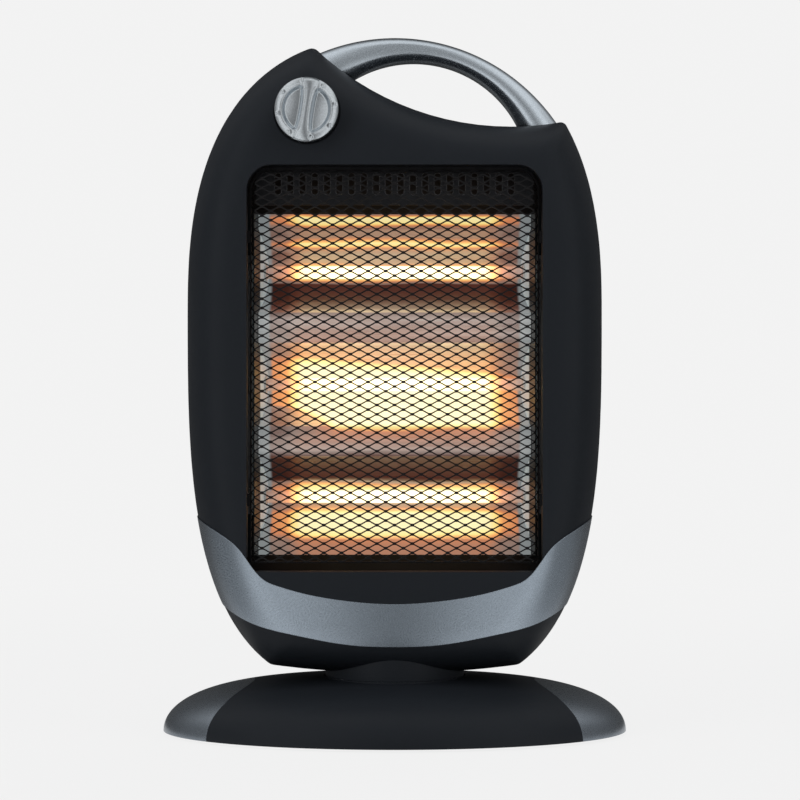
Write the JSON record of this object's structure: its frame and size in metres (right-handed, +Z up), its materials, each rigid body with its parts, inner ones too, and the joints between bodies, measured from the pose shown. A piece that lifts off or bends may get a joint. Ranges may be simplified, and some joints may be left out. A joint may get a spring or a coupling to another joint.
{
  "type": "infrared heater",
  "caption": "Oscillating halogen infrared heater: an egg-shaped head with quartz tubes behind a mesh grille, an arched handle and a knob, on a low oval base.",
  "frame": {"origin": "on the floor under the middle of the oval base", "axes": "+Z up, -Y towards the front with the grille, +X to the right as seen from the front"},
  "size_m": [0.36, 0.24, 0.5407],
  "materials": {
    "black_plastic": "satin black moulding with a fine grain",
    "silver_paint": "silver paint with fine flakes over a plastic moulding",
    "grey_paint": "dark silver paint over a plastic moulding",
    "silver_knob": "bright silver paint, semi-gloss",
    "black_metal": "heat-proof black paint",
    "dark_sheet": "black paint on sheet steel",
    "sheet_steel": "plain zinc-coated sheet",
    "screw_steel": "zinc-coated",
    "polished_aluminium": "polished, warm tint near the tubes",
    "quartz_glass": "clear quartz",
    "filament_wire": "glowing tungsten coil",
    "white_ceramic": "unglazed steatite",
    "dark_plastic": "plain moulded",
    "white_plastic": "natural moulded",
    "lead_sleeve": "woven heat-proof sleeve",
    "foot_rubber": "matte",
    "ballast_iron": "rough cast",
    "spring_steel": "bright wire"
  },
  "bodies": {
    "base": {"base_cover": "black_plastic", "base_trim_left": "grey_paint", "base_trim_right": "grey_paint", "base_plate": "dark_sheet", "rubber_feet": "foot_rubber", "base_screws": "screw_steel", "ballast_plates": "ballast_iron", "cord_gland": "dark_plastic", "cord_clamp": "dark_plastic", "slide_washer": "white_plastic", "swing_motor": "sheet_steel", "motor_screws": "screw_steel", "tip_housing": "dark_plastic", "tip_spring": "spring_steel", "tip_micro_switch": "dark_plastic"},
    "head": {"front_cover": "black_plastic", "rear_cover": "black_plastic", "cover_screws": "screw_steel", "trim_band": "silver_paint", "handle_front": "silver_paint", "handle_rear": "silver_paint", "grille": "black_metal", "grille_clips": "black_metal", "heat_shield": "sheet_steel", "shield_screws": "screw_steel", "vent_panel": "dark_sheet", "reflector": "polished_aluminium", "reflector_side_left": "polished_aluminium", "reflector_side_right": "polished_aluminium", "quartz_tube_lower": "quartz_glass", "quartz_tube_middle": "quartz_glass", "quartz_tube_upper": "quartz_glass", "filament_lower": "filament_wire", "filament_middle": "filament_wire", "filament_upper": "filament_wire", "tube_caps_left": "white_ceramic", "tube_caps_right": "white_ceramic", "tube_holder_left": "sheet_steel", "tube_holder_right": "sheet_steel", "rotary_switch": "dark_plastic", "thermal_cutout": "white_ceramic", "terminal_block": "white_plastic", "switch_lead": "lead_sleeve", "neck_lead": "lead_sleeve", "turntable": "black_plastic", "clamp_ring": "sheet_steel", "thrust_washer": "white_plastic", "swing_arm": "sheet_steel", "lock_ring": "sheet_steel"},
    "knob": {"knob": "silver_knob", "switch_spindle": "sheet_steel"},
    "crank": {"crank": "white_plastic"},
    "plunger": {"tip_plunger": "white_plastic"}
  },
  "joints": [
    {"name": "swing", "type": "hinge", "parent": "base", "child": "head", "pos_m": [0, 0, 0.04], "axis": [0, 0, 1], "range_deg": [-35, 35]},
    {"name": "crank_turn", "type": "hinge", "parent": "base", "child": "crank", "pos_m": [0, 0.042, 0.022], "axis": [0, 0, 1], "range_deg": [-130, 130]},
    {"name": "knob_turn", "type": "hinge", "parent": "head", "child": "knob", "pos_m": [-0.0662, -0.066, 0.4775], "axis": [0, 1, 0], "range_deg": [0, 270]},
    {"name": "tip_switch_plunger", "type": "slide", "parent": "base", "child": "plunger", "axis": [0, 0, -1], "range_m": [0, 0.004], "stiffness_N_per_m": 300, "springref_m": 0.006, "deforming": ["tip_spring"]}
  ],
  "couplings": [
    {"joint": "crank_turn", "follows": "swing", "ratio": 3.5714}
  ]
}
